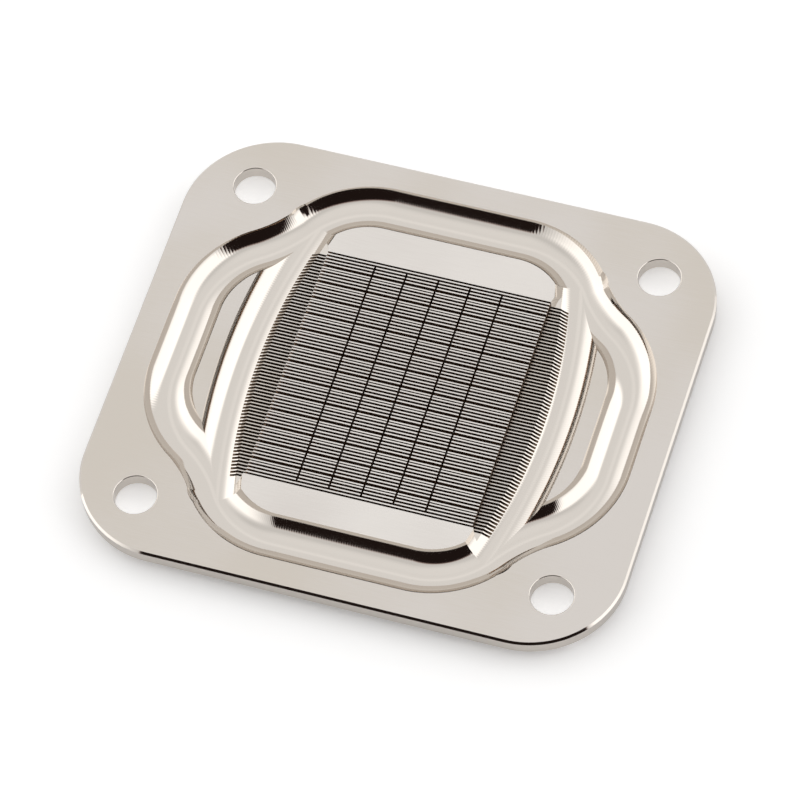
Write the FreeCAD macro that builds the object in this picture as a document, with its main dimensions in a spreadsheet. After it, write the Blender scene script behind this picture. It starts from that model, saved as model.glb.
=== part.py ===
import FreeCAD, Part
import math
import os
import Sketcher

# Cold plate of a CPU water block: one machined and nickel plated copper plate.
# Origin: middle of the contact face, which is its underside. +Z up towards the
# channels, +X along the fins, +Y across them. Every cut starts at the top face.

SIZES = {
    # plate rim, a rounded rectangle
    "plate_length": 65.3,
    "plate_width": 58.3,
    "plate_corner_radius": 11.2,
    "rim_thickness": 1.7,
    "edge_chamfer": 0.25,
    # contact pad under the rim, which presses on the processor
    "pad_length": 58.0,
    "pad_width": 52.0,
    "pad_corner_cut": 14.5,
    "pad_height": 1.5,
    "pad_corner_radius": 3.0,
    "pad_chamfer": 0.2,
    # screw holes, one near each corner
    "hole_spacing_x": 50.0,
    "hole_spacing_y": 44.0,
    "hole_bore": 5.0,
    "hole_chamfer": 0.15,
    # coolant channels, cut with a ball-nosed cutter
    "ball_radius": 3.175,
    "channel_depth": 1.8,
    # outer loop, one quarter: end run, bend, reverse bend, bend, side run
    "end_run_offset": 23.0,
    "end_run_half": 8.3,
    "end_bend_radius": 10.15,
    "reverse_bend_radius": 17.4,
    "side_bend_radius": 10.85,
    "side_run_offset": 26.3,
    "side_run_half": 4.6,
    # inner arcs, beside the fins
    "inner_arc_offset": 18.65,
    "inner_arc_radius": 74.5,
    "inner_arc_reach": 19.0,
    # dimples where the ball-nosed cutter goes down, one near each hole
    "dimple_offset_x": 16.78,
    "dimple_offset_y": 18.72,
    # steps beside the fins, cut with a flat cutter
    "step_wall_offset": 13.7,
    "step_cutter_radius": 3.0,
    "step_half_travel": 15.0,
    "step_depth": 1.01,
    # fins: slots sawn by a gang of five cutters, pass after pass
    "fin_pitch": 0.452,
    "slot_width": 0.226,
    "slot_depth": 1.56,
    "slot_reach": 17.8,
    "first_slot": 15.33,
    "gang_cutters": 5,
    "gang_passes": 14,
    "fin_lean": 0.107,
    # cross cuts over the fins
    "cross_cuts": 5,
    "cross_pitch": 3.894,
    "cross_width": 0.24,
    "cross_depth": 1.56,
    "cross_middle": 0.16,
    "cross_top": 14.9,
    "cross_bottom": 15.5,
}

TOP = "sizes.pad_height + sizes.rim_thickness"
BALL_HEIGHT = f"{TOP} + sizes.ball_radius - sizes.channel_depth"

NEAR = 1e-6

doc = FreeCAD.newDocument("cold_plate")

sheet = doc.addObject("Spreadsheet::Sheet", "sizes")
for row, (alias, value) in enumerate(SIZES.items(), start=1):
    sheet.set(f"A{row}", alias)
    sheet.set(f"B{row}", str(value))
    sheet.setAlias(f"B{row}", alias)
doc.recompute()

body = doc.addObject("PartDesign::Body", "cold_plate_body")
body.Label = "cold_plate"
ORIGIN = {item.Role: item for item in body.Origin.OriginFeatures}


def size(alias):
    """The value of one cell of the sheet."""
    return float(sheet.get(alias))


def top_height():
    return size("pad_height") + size("rim_thickness")


def ball_height():
    """Height of the middle of the ball-nosed cutter."""
    return top_height() + size("ball_radius") - size("channel_depth")


def new_sketch(name, plane, offset=None):
    """A sketch on one of the body's origin planes, or at an offset from it."""
    sketch = body.newObject("Sketcher::SketchObject", name)
    sketch.AttachmentSupport = [(ORIGIN[plane], "")]
    sketch.MapMode = "FlatFace"
    if offset is not None:
        sketch.setExpression(".AttachmentOffset.Base.z", offset)
    return sketch


def drive(sketch, name, kind, places, start, formula):
    """Add one named dimension to a sketch and bind it to a formula of the sheet."""
    index = sketch.addConstraint(Sketcher.Constraint(kind, *places, start))
    sketch.renameConstraint(index, name)
    sketch.setExpression(f"Constraints.{name}", formula)


def point(x, y):
    return FreeCAD.Vector(x, y, 0)


def arc(sketch, centre, radius, first, last):
    """An arc, anticlockwise from angle first to angle last in degrees."""
    circle = Part.Circle(point(*centre), FreeCAD.Vector(0, 0, 1), radius)
    ends = math.radians(first), math.radians(last)
    return sketch.addGeometry(Part.ArcOfCircle(circle, *ends))


def line(sketch, start, end):
    return sketch.addGeometry(Part.LineSegment(point(*start), point(*end)))


def join(sketch, kind, first, first_end, second, second_end):
    sketch.addConstraint(Sketcher.Constraint(kind, first, first_end, second, second_end))


def rounded_rectangle(sketch, length, width, radius):
    """Four sides and four equal tangent corners about the origin."""
    half_l, half_w, r = size(length) / 2, size(width) / 2, size(radius)
    in_l, in_w = half_l - r, half_w - r
    bottom = line(sketch, (-in_l, -half_w), (in_l, -half_w))
    right = line(sketch, (half_l, -in_w), (half_l, in_w))
    top = line(sketch, (in_l, half_w), (-in_l, half_w))
    left = line(sketch, (-half_l, in_w), (-half_l, -in_w))
    sides = [bottom, right, top, left]
    centres = [(in_l, -in_w), (in_l, in_w), (-in_l, in_w), (-in_l, -in_w)]
    corners = [arc(sketch, c, r, 90 * (i - 1), 90 * i) for i, c in enumerate(centres)]
    for i, corner in enumerate(corners):
        join(sketch, "Tangent", sides[i], 2, corner, 1)
        join(sketch, "Tangent", corner, 2, sides[(i + 1) % 4], 1)
    for flat in (bottom, top):
        sketch.addConstraint(Sketcher.Constraint("Horizontal", flat))
    for upright in (right, left):
        sketch.addConstraint(Sketcher.Constraint("Vertical", upright))
    for corner in corners[1:]:
        sketch.addConstraint(Sketcher.Constraint("Equal", corners[0], corner))
    drive(sketch, "radius", "Radius", (corners[0],), r, f"sizes.{radius}")
    drive(sketch, "right_x", "DistanceX", (-1, 1, right, 1), half_l, f"sizes.{length} / 2")
    drive(sketch, "top_y", "DistanceY", (-1, 1, top, 1), half_w, f"sizes.{width} / 2")
    drive(sketch, "left_x", "DistanceX", (left, 1, -1, 1), half_l, f"sizes.{length} / 2")
    drive(sketch, "bottom_y", "DistanceY", (bottom, 1, -1, 1), half_w, f"sizes.{width} / 2")


def rectangle(sketch, name, edges, formulas):
    """A rectangle from its left, right, low and high edges, each with its own formula."""
    x0, x1, y0, y1 = edges
    bottom = line(sketch, (x0, y0), (x1, y0))
    right = line(sketch, (x1, y0), (x1, y1))
    top = line(sketch, (x1, y1), (x0, y1))
    left = line(sketch, (x0, y1), (x0, y0))
    loop = [bottom, right, top, left]
    for i, side in enumerate(loop):
        join(sketch, "Coincident", side, 2, loop[(i + 1) % 4], 1)
    for flat in (bottom, top):
        sketch.addConstraint(Sketcher.Constraint("Horizontal", flat))
    for upright in (right, left):
        sketch.addConstraint(Sketcher.Constraint("Vertical", upright))
    drive(sketch, name + "_left", "DistanceX", (-1, 1, bottom, 1), x0, formulas[0])
    drive(sketch, name + "_right", "DistanceX", (-1, 1, bottom, 2), x1, formulas[1])
    drive(sketch, name + "_low", "DistanceY", (-1, 1, bottom, 1), y0, formulas[2])
    drive(sketch, name + "_high", "DistanceY", (-1, 1, top, 1), y1, formulas[3])


def pad(name, sketch, depth):
    """Material below a sketch."""
    feature = body.newObject("PartDesign::Pad", name)
    feature.Profile = sketch
    feature.Reversed = True
    feature.setExpression("Length", f"sizes.{depth}")
    return feature


def pocket(name, sketch, depth, refine=True):
    """A cut below a sketch."""
    feature = body.newObject("PartDesign::Pocket", name)
    feature.Profile = sketch
    feature.Refine = refine
    feature.setExpression("Length", f"sizes.{depth}")
    return feature


def mirrored(name, feature, plane):
    copy = body.newObject("PartDesign::Mirrored", name)
    copy.Originals = [feature]
    copy.MirrorPlane = (ORIGIN[plane], [""])
    body.Tip = copy
    doc.recompute()


def four_quarters(name, feature):
    """Copies of a feature in the other three quarters of the plate."""
    every = body.newObject("PartDesign::MultiTransform", name + "_all")
    across = body.newObject("PartDesign::Mirrored", name + "_across")
    across.MirrorPlane = (ORIGIN["YZ_Plane"], [""])
    along = body.newObject("PartDesign::Mirrored", name + "_along")
    along.MirrorPlane = (ORIGIN["XZ_Plane"], [""])
    every.Originals = [feature]
    every.Transformations = [across, along]
    body.Tip = every
    doc.recompute()


def edges_where(feature, test):
    """Names of a feature's edges whose two ends pass a test."""
    names = []
    for i, edge in enumerate(feature.Shape.Edges, start=1):
        if all(test(vertex.Point) for vertex in edge.Vertexes):
            names.append(f"Edge{i}")
    return names


def dress(kind, name, base, edges, measure, alias):
    """A chamfer or fillet on some edges of a feature."""
    feature = body.newObject(f"PartDesign::{kind}", name)
    feature.Base = (base, edges)
    feature.setExpression(measure, f"sizes.{alias}")
    doc.recompute()
    return feature


def build_rim():
    outline = new_sketch("rim_outline", "XY_Plane", TOP)
    rounded_rectangle(outline, "plate_length", "plate_width", "plate_corner_radius")
    rim = pad("rim", outline, "rim_thickness")
    doc.recompute()
    top_edges = edges_where(rim, lambda p: abs(p.z - top_height()) < NEAR)
    dress("Chamfer", "rim_edge", rim, top_edges, "Size", "edge_chamfer")


def build_contact_pad():
    """The raised underside, an oblong with its corners cut off clear of the screw holes."""
    outline = new_sketch("pad_outline", "XY_Plane", "sizes.pad_height")
    half_l, half_w, cut = size("pad_length") / 2, size("pad_width") / 2, size("pad_corner_cut")
    turns = [
        (half_l, -half_w + cut), (half_l, half_w - cut), (half_l - cut, half_w),
        (-half_l + cut, half_w), (-half_l, half_w - cut), (-half_l, -half_w + cut),
        (-half_l + cut, -half_w), (half_l - cut, -half_w),
    ]
    sides = [line(outline, turns[i], turns[(i + 1) % 8]) for i in range(8)]
    for i, side in enumerate(sides):
        join(outline, "Coincident", side, 2, sides[(i + 1) % 8], 1)
    length_formula = ("sizes.pad_length / 2", "sizes.pad_length / 2 - sizes.pad_corner_cut")
    width_formula = ("sizes.pad_width / 2", "sizes.pad_width / 2 - sizes.pad_corner_cut")
    for i, (x, y) in enumerate(turns):
        across = length_formula[0 if i in (0, 1, 4, 5) else 1]
        along = width_formula[1 if i in (0, 1, 4, 5) else 0]
        x_places = (-1, 1, sides[i], 1) if x > 0 else (sides[i], 1, -1, 1)
        y_places = (-1, 1, sides[i], 1) if y > 0 else (sides[i], 1, -1, 1)
        drive(outline, f"turn_{i}_x", "DistanceX", x_places, abs(x), across)
        drive(outline, f"turn_{i}_y", "DistanceY", y_places, abs(y), along)
    contact = pad("contact_pad", outline, "pad_height")
    doc.recompute()
    upright = []
    for i, edge in enumerate(contact.Shape.Edges, start=1):
        low, high = sorted(vertex.Point.z for vertex in edge.Vertexes)[::len(edge.Vertexes) - 1]
        if abs(low) < NEAR and high > NEAR:
            upright.append(f"Edge{i}")
    corners = dress("Fillet", "pad_corners", contact, upright, "Radius", "pad_corner_radius")
    face_edges = edges_where(corners, lambda p: abs(p.z) < NEAR)
    dress("Chamfer", "pad_edge", corners, face_edges, "Size", "pad_chamfer")


def build_screw_holes():
    centres = new_sketch("hole_centres", "XY_Plane", TOP)
    half_x, half_y = size("hole_spacing_x") / 2, size("hole_spacing_y") / 2
    for i, (sx, sy) in enumerate([(1, 1), (-1, 1), (-1, -1), (1, -1)]):
        circle = Part.Circle(point(sx * half_x, sy * half_y), FreeCAD.Vector(0, 0, 1), 1)
        hole = centres.addGeometry(circle)
        x_places = (-1, 1, hole, 3) if sx > 0 else (hole, 3, -1, 1)
        y_places = (-1, 1, hole, 3) if sy > 0 else (hole, 3, -1, 1)
        drive(centres, f"x_{i}", "DistanceX", x_places, half_x, "sizes.hole_spacing_x / 2")
        drive(centres, f"y_{i}", "DistanceY", y_places, half_y, "sizes.hole_spacing_y / 2")
        drive(centres, f"bore_{i}", "Diameter", (hole,), 5.0, "sizes.hole_bore")
    doc.recompute()
    holes = body.newObject("PartDesign::Hole", "screw_holes")
    holes.Profile = centres
    holes.Threaded = False
    holes.DepthType = "ThroughAll"
    holes.setExpression("Diameter", "sizes.hole_bore")
    holes.HoleCutType = "Countersink"
    holes.HoleCutCustomValues = True
    holes.HoleCutCountersinkAngle = 90
    holes.setExpression("HoleCutDiameter", "sizes.hole_bore + 2 * sizes.hole_chamfer")
    doc.recompute()


def outer_loop_quarter():
    """Centres of the three bends of a quarter of the outer loop and its two tangent angles."""
    end_r, side_r, reverse_r = size("end_bend_radius"), size("side_bend_radius"), size("reverse_bend_radius")
    end_c = (size("end_run_half"), size("end_run_offset") - end_r)
    side_c = (size("side_run_offset") - side_r, size("side_run_half"))
    dx, dy = side_c[0] - end_c[0], side_c[1] - end_c[1]
    apart = math.hypot(dx, dy)
    to_end, to_side = reverse_r + end_r, reverse_r + side_r
    along = (to_end ** 2 - to_side ** 2 + apart ** 2) / (2 * apart)
    out = math.sqrt(to_end ** 2 - along ** 2)
    ux, uy = dx / apart, dy / apart
    reverse_c = (end_c[0] + along * ux - out * uy, end_c[1] + along * uy + out * ux)
    leave = math.degrees(math.atan2(reverse_c[1] - end_c[1], reverse_c[0] - end_c[0]))
    arrive = math.degrees(math.atan2(reverse_c[1] - side_c[1], reverse_c[0] - side_c[0]))
    return end_c, reverse_c, side_c, leave, arrive


def ball_section(name, plane, offset):
    """The cutter's round section, upright, at an offset from the body's origin."""
    section = new_sketch(name, plane)
    middle = point(size(offset), ball_height())
    circle = Part.Circle(middle, FreeCAD.Vector(0, 0, 1), size("ball_radius"))
    ball = section.addGeometry(circle)
    drive(section, "ball", "Radius", (ball,), size("ball_radius"), "sizes.ball_radius")
    drive(section, "offset", "DistanceX", (-1, 1, ball, 3), middle.x, f"sizes.{offset}")
    drive(section, "height", "DistanceY", (-1, 1, ball, 3), middle.y, BALL_HEIGHT)
    return section


def build_outer_channel():
    """A ball-nosed cut along the outer loop, drawn for one quarter and mirrored twice."""
    route = new_sketch("outer_route", "XY_Plane", BALL_HEIGHT)
    end_c, reverse_c, side_c, leave, arrive = outer_loop_quarter()
    end_y, side_x = size("end_run_offset"), size("side_run_offset")
    end_run = line(route, (0, end_y), (end_c[0], end_y))
    end_bend = arc(route, end_c, size("end_bend_radius"), leave, 90)
    reverse_bend = arc(route, reverse_c, size("reverse_bend_radius"), leave + 180, arrive + 180)
    side_bend = arc(route, side_c, size("side_bend_radius"), 0, arrive)
    side_run = line(route, (side_x, side_c[1]), (side_x, 0))
    route.addConstraint(Sketcher.Constraint("PointOnObject", end_run, 1, -2))
    route.addConstraint(Sketcher.Constraint("PointOnObject", side_run, 2, -1))
    route.addConstraint(Sketcher.Constraint("Horizontal", end_run))
    route.addConstraint(Sketcher.Constraint("Vertical", side_run))
    join(route, "Tangent", end_run, 2, end_bend, 2)
    join(route, "Tangent", end_bend, 1, reverse_bend, 1)
    join(route, "Tangent", reverse_bend, 2, side_bend, 2)
    join(route, "Tangent", side_bend, 1, side_run, 1)
    drive(route, "end_y", "DistanceY", (-1, 1, end_run, 1), end_y, "sizes.end_run_offset")
    drive(route, "end_half", "DistanceX", (-1, 1, end_run, 2), end_c[0], "sizes.end_run_half")
    drive(route, "side_x", "DistanceX", (-1, 1, side_run, 2), side_x, "sizes.side_run_offset")
    drive(route, "side_half", "DistanceY", (-1, 1, side_run, 1), side_c[1], "sizes.side_run_half")
    for name, bend in (("end", end_bend), ("reverse", reverse_bend), ("side", side_bend)):
        alias = f"{name}_bend_radius"
        drive(route, f"{name}_radius", "Radius", (bend,), size(alias), f"sizes.{alias}")

    section = ball_section("outer_section", "YZ_Plane", "end_run_offset")
    channel = body.newObject("PartDesign::SubtractivePipe", "outer_channel")
    channel.Profile = section
    channel.Spine = route
    doc.recompute()
    four_quarters("outer_channel", channel)


def build_inner_arcs():
    """A shallow-curved ball-nosed cut on each side of the fins, ending inside the outer loop."""
    section = ball_section("inner_section", "XZ_Plane", "inner_arc_offset")
    turn_x = size("inner_arc_offset") - size("inner_arc_radius")
    axis = line(section, (turn_x, 0), (turn_x, 10))
    section.toggleConstruction(axis)
    section.addConstraint(Sketcher.Constraint("Vertical", axis))
    section.addConstraint(Sketcher.Constraint("PointOnObject", axis, 1, -1))
    reach = "sizes.inner_arc_radius - sizes.inner_arc_offset"
    drive(section, "turn", "DistanceX", (axis, 1, -1, 1), -turn_x, reach)
    drive(section, "axis_length", "DistanceY", (axis, 1, axis, 2), 10, "sizes.ball_radius * 3")
    cut = body.newObject("PartDesign::Groove", "inner_arc")
    cut.Profile = section
    cut.ReferenceAxis = (section, ["Axis0"])
    cut.Midplane = True
    cut.setExpression("Angle", "2 * asin(sizes.inner_arc_reach / sizes.inner_arc_radius)")
    doc.recompute()
    mirrored("inner_arcs", cut, "YZ_Plane")


def build_dimples():
    """A half disc turned about an upright line through the cutter's middle, four times."""
    section = new_sketch("dimple_section", "XZ_Plane", "-sizes.dimple_offset_y")
    x, z, r = size("dimple_offset_x"), ball_height(), size("ball_radius")
    half = arc(section, (x, z), r, -90, 90)
    chord = line(section, (x, z + r), (x, z - r))
    join(section, "Coincident", half, 2, chord, 1)
    join(section, "Coincident", chord, 2, half, 1)
    section.addConstraint(Sketcher.Constraint("PointOnObject", half, 3, chord))
    section.addConstraint(Sketcher.Constraint("Vertical", chord))
    drive(section, "ball", "Radius", (half,), r, "sizes.ball_radius")
    drive(section, "offset", "DistanceX", (-1, 1, half, 3), x, "sizes.dimple_offset_x")
    drive(section, "height", "DistanceY", (-1, 1, half, 3), z, BALL_HEIGHT)
    dimple = body.newObject("PartDesign::Groove", "dimple")
    dimple.Profile = section
    dimple.ReferenceAxis = (section, ["Edge2"])
    dimple.Angle = 360
    doc.recompute()
    four_quarters("dimple", dimple)


def build_steps():
    """A straight step on each side of the fins, with the flat cutter's round ends."""
    outline = new_sketch("step_outline", "XY_Plane", TOP)
    r, travel = size("step_cutter_radius"), size("step_half_travel")
    near_x = size("step_wall_offset")
    middle_x, far_x = near_x + r, near_x + 2 * r
    near = line(outline, (near_x, travel), (near_x, -travel))
    low = arc(outline, (middle_x, -travel), r, 180, 360)
    far = line(outline, (far_x, -travel), (far_x, travel))
    high = arc(outline, (middle_x, travel), r, 0, 180)
    loop = [near, low, far, high]
    for i, piece in enumerate(loop):
        join(outline, "Tangent", piece, 2, loop[(i + 1) % 4], 1)
    outline.addConstraint(Sketcher.Constraint("Vertical", near))
    drive(outline, "cutter", "Radius", (high,), r, "sizes.step_cutter_radius")
    drive(outline, "wall", "DistanceX", (-1, 1, near, 1), near_x, "sizes.step_wall_offset")
    drive(outline, "travel_up", "DistanceY", (-1, 1, near, 1), travel, "sizes.step_half_travel")
    drive(outline, "travel_down", "DistanceY", (near, 2, -1, 1), travel, "sizes.step_half_travel")
    step = pocket("step", outline, "step_depth")
    doc.recompute()
    mirrored("steps", step, "YZ_Plane")


def saw(name, sketch, depth, direction, copies, span):
    """Cut a sketch and repeat the cut along one axis of the body, towards its negative end."""
    cut = pocket(name, sketch, depth, refine=False)
    doc.recompute()
    row = body.newObject("PartDesign::LinearPattern", name + "_row")
    row.Originals = [cut]
    row.Refine = False
    row.Direction = (ORIGIN[direction], [""])
    row.Reversed = True
    row.setExpression("Occurrences", copies)
    row.setExpression("Length", span)
    body.Tip = row
    doc.recompute()


def slot_edges(number, grow_high=0.0, grow_low=0.0):
    """Low and high edge of a slot, counted from 1 at the far side, as values and formulas."""
    middle = size("first_slot") - (number - 1) * size("fin_pitch")
    low = middle - size("slot_width") / 2 - grow_low * size("fin_lean")
    high = middle + size("slot_width") / 2 + grow_high * size("fin_lean")
    start = f"sizes.first_slot - {number - 1} * sizes.fin_pitch"
    low_formula = f"{start} - sizes.slot_width / 2 - {grow_low} * sizes.fin_lean"
    high_formula = f"{start} + sizes.slot_width / 2 + {grow_high} * sizes.fin_lean"
    return (low, high), (low_formula, high_formula)


def add_slot(sketch, name, left, right, values, formulas):
    ends = size_of(left), size_of(right)
    rectangle(sketch, name, (*ends, *values), (left, right, *formulas))


def size_of(formula):
    """Value of a formula that is one cell of the sheet, or its negative."""
    sign = -1 if formula.startswith("-") else 1
    return sign * size(formula.split(".")[1])


def build_fins():
    """Slots across the flat field; the fin left between two passes leans towards the near side."""
    left, right = "-sizes.step_wall_offset", "sizes.step_wall_offset"
    gang = int(size("gang_cutters"))
    passes = int(size("gang_passes"))
    stride = "sizes.gang_cutters * sizes.fin_pitch"

    middle = new_sketch("middle_slots", "XY_Plane", TOP)
    for number in range(2, gang):
        add_slot(middle, f"slot_{number}", left, right, *slot_edges(number))
    saw("middle_cut", middle, "slot_depth", "Y_Axis", "sizes.gang_passes",
        f"(sizes.gang_passes - 1) * {stride}")

    between = new_sketch("between_passes", "XY_Plane", TOP)
    add_slot(between, "last_of_pass", left, right, *slot_edges(gang, grow_low=1))
    add_slot(between, "first_of_next", left, right, *slot_edges(gang + 1, grow_high=-1))
    saw("between_cut", between, "slot_depth", "Y_Axis", "sizes.gang_passes - 1",
        f"(sizes.gang_passes - 2) * {stride}")

    outermost = new_sketch("outermost_slots", "XY_Plane", TOP)
    add_slot(outermost, "first", left, right, *slot_edges(1))
    last = passes * gang
    low_high, _ = slot_edges(last)
    start = "sizes.first_slot - (sizes.gang_passes * sizes.gang_cutters - 1) * sizes.fin_pitch"
    formulas = (f"{start} - sizes.slot_width / 2", f"{start} + sizes.slot_width / 2")
    add_slot(outermost, "last", left, right, low_high, formulas)
    pocket("outermost_cut", outermost, "slot_depth", refine=False)
    doc.recompute()

    shelf = new_sketch("shelf_slots", "XY_Plane", TOP)
    values, formulas = slot_edges(1)
    add_slot(shelf, "right", right, "sizes.slot_reach", values, formulas)
    add_slot(shelf, "left", "-sizes.slot_reach", left, values, formulas)
    saw("shelf_cut", shelf, "slot_depth", "Y_Axis", "sizes.gang_passes * sizes.gang_cutters",
        "(sizes.gang_passes * sizes.gang_cutters - 1) * sizes.fin_pitch")


def build_cross_cuts():
    """Narrow cuts across the fins, which leave the first and the last fin whole."""
    cuts = new_sketch("cross_cut", "XY_Plane", TOP)
    half_span = (size("cross_cuts") - 1) / 2 * size("cross_pitch")
    middle = size("cross_middle") + half_span
    half = size("cross_width") / 2
    start = "sizes.cross_middle + (sizes.cross_cuts - 1) / 2 * sizes.cross_pitch"
    formulas = (
        f"{start} - sizes.cross_width / 2", f"{start} + sizes.cross_width / 2",
        "-sizes.cross_bottom", "sizes.cross_top",
    )
    edges = (middle - half, middle + half, -size("cross_bottom"), size("cross_top"))
    rectangle(cuts, "cut", edges, formulas)
    saw("cross", cuts, "cross_depth", "X_Axis", "sizes.cross_cuts",
        "(sizes.cross_cuts - 1) * sizes.cross_pitch")


build_rim()
build_contact_pad()
build_screw_holes()
build_outer_channel()
build_inner_arcs()
build_dimples()
build_steps()
build_fins()
build_cross_cuts()
doc.recompute()

failed = [item.Name for item in doc.Objects if {"Invalid", "Error"} & set(item.State)]
if failed:
    raise RuntimeError("failed features: " + ", ".join(failed))
shape = body.Shape
if shape.isNull() or not shape.isValid() or len(shape.Solids) != 1:
    raise RuntimeError("cold_plate is not one valid solid")

os.makedirs("parts", exist_ok=True)
shape.exportStep(f"parts/{body.Label}.step")
print(f"{body.Label}: {shape.Volume:.2f} cubic mm, {len(shape.Faces)} faces")
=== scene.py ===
"""A nickel plated cold plate: its machined surfaces, their finishes, the light and the camera.

Lengths are in millimetres until a mesh, a light or the camera is made, and then in metres.
"""

import math

import bpy
import numpy as np
from mathutils import Matrix, Vector
from mathutils.geometry import tessellate_polygon


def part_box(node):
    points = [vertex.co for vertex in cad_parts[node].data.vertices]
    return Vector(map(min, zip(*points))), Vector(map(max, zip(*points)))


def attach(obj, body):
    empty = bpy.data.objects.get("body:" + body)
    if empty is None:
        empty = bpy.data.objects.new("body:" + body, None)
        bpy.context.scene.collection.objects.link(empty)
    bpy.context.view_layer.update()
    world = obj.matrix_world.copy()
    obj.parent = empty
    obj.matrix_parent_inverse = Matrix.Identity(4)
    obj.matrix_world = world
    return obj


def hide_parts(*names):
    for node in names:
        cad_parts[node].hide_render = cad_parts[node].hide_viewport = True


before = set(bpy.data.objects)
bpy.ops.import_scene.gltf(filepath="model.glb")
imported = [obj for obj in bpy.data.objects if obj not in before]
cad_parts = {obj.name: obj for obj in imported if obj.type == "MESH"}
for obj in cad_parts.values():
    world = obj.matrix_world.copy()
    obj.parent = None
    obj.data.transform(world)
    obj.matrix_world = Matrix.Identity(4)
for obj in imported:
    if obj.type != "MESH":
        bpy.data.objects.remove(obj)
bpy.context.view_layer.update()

MM = 0.001
HIGH = np.array(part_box("cold_plate")[1]) / MM

# plate and contact pad
TOP = HIGH[2]
PAD_HEIGHT = 1.5
HALF_PLATE = HIGH[:2]
PLATE_CORNER = 11.2
EDGE_CHAMFER = 0.25
HALF_PAD = np.array([29.0, 26.0])
PAD_CUT = 14.5
PAD_CORNER = 3.0
PAD_CHAMFER = 0.2

# screw holes
HOLE_CENTRE = np.array([25.0, 22.0])
HOLE_RADIUS = 2.5
HOLE_CHAMFER = 0.15

# ball-nosed cutter and the lines that it follows
BALL = 3.175
CHANNEL_DEPTH = 1.8
END_RUN_Y = 23.0
END_RUN_HALF = 8.3
END_BEND = 10.15
REVERSE_BEND = 17.4
SIDE_BEND = 10.85
SIDE_RUN_X = 26.3
SIDE_RUN_HALF = 4.6
ARC_RADIUS = 74.5
ARC_CENTRE = np.array([18.65 - ARC_RADIUS, 0.0])
DIMPLE = np.array([16.78, 18.72])
DIMPLE_FADE = (1.7, 2.8)

# steps beside the fins
STEP_WALL = 13.7
STEP_CUTTER = 3.0
STEP_TRAVEL = 15.0
STEP_DEPTH = 1.01

# fins
FIN_PITCH = 0.452
SLOT_WIDTH = 0.226
SLOT_DEPTH = 1.56
FIRST_SLOT = 15.33
GANG = 5
SLOTS = 70
FIN_LEAN = 0.107
CROSS_CUTS = 5
CROSS_PITCH = 3.894
CROSS_WIDTH = 0.24
CROSS_MIDDLE = 0.16
FIN_EDGE = 0.024
STEP_FIN_EDGE = 0.036

# points across the outer channel and across an inner arc
CHANNEL_POINTS = 45
ARC_POINTS = 30

# how high the ball's middle stands above the top face, and the half width that it cuts there
BALL_LIFT = BALL - CHANNEL_DEPTH
HALF_WIDTH = math.sqrt(BALL ** 2 - BALL_LIFT ** 2)


def offset_at_depth(depth):
    """How far from its line the cutter's surface lies at a depth below the top face."""
    return math.sqrt(BALL ** 2 - (BALL_LIFT + depth) ** 2)


STEP_OFFSET = offset_at_depth(STEP_DEPTH)
SLOT_OFFSET = offset_at_depth(SLOT_DEPTH)

# finishes, in the order of the plate's material slots
GROUND, MILLED, SAWN, TURNED, LAPPED = range(5)


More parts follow.
